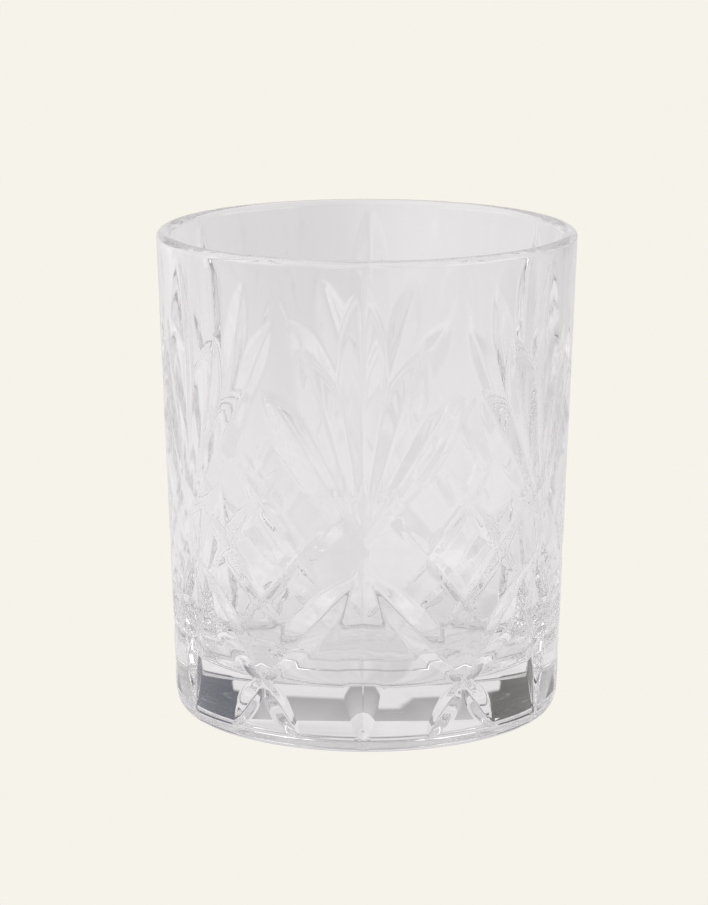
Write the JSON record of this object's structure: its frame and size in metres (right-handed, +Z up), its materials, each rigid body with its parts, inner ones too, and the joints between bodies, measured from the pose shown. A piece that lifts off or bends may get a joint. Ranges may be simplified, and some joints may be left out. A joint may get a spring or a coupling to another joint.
{
  "type": "whiskey tumbler",
  "caption": "Straight-sided clear glass tumbler with a thick base and a cut pattern of fans, diamonds and long leaves.",
  "frame": {"origin": "centre of the foot, on the plane of the table", "axes": "+Z up along the glass's axis through the mouth; -Y towards the fan that faces the viewer, +X to that viewer's right"},
  "size_m": [0.081, 0.081, 0.094],
  "materials": {
    "glass": "clear, fire polished"
  },
  "bodies": {
    "root": {"tumbler": "glass"}
  },
  "joints": []
}
